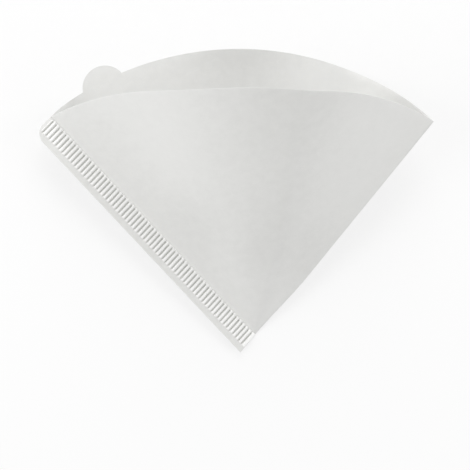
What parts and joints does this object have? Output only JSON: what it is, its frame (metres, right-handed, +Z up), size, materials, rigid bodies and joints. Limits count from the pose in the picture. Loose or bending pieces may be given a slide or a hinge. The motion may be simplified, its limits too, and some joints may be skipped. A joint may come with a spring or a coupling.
{
  "type": "paper coffee filter",
  "caption": "Cone-shaped paper coffee filter, folded along one side and crimped along the other, opened and lying on its back wall, with a round grip tab.",
  "frame": {"origin": "on the surface that the filter lies on, under the middle of its bounding box", "axes": "+Y from the pointed tip towards the open rim, +X from the crimped seam towards the folded side, +Z up, away from the surface"},
  "size_m": [0.1498, 0.1178, 0.0541],
  "materials": {
    "filter_paper": "matte bleached filter paper"
  },
  "bodies": {
    "root": {"coffee_filter": "filter_paper"}
  },
  "joints": []
}
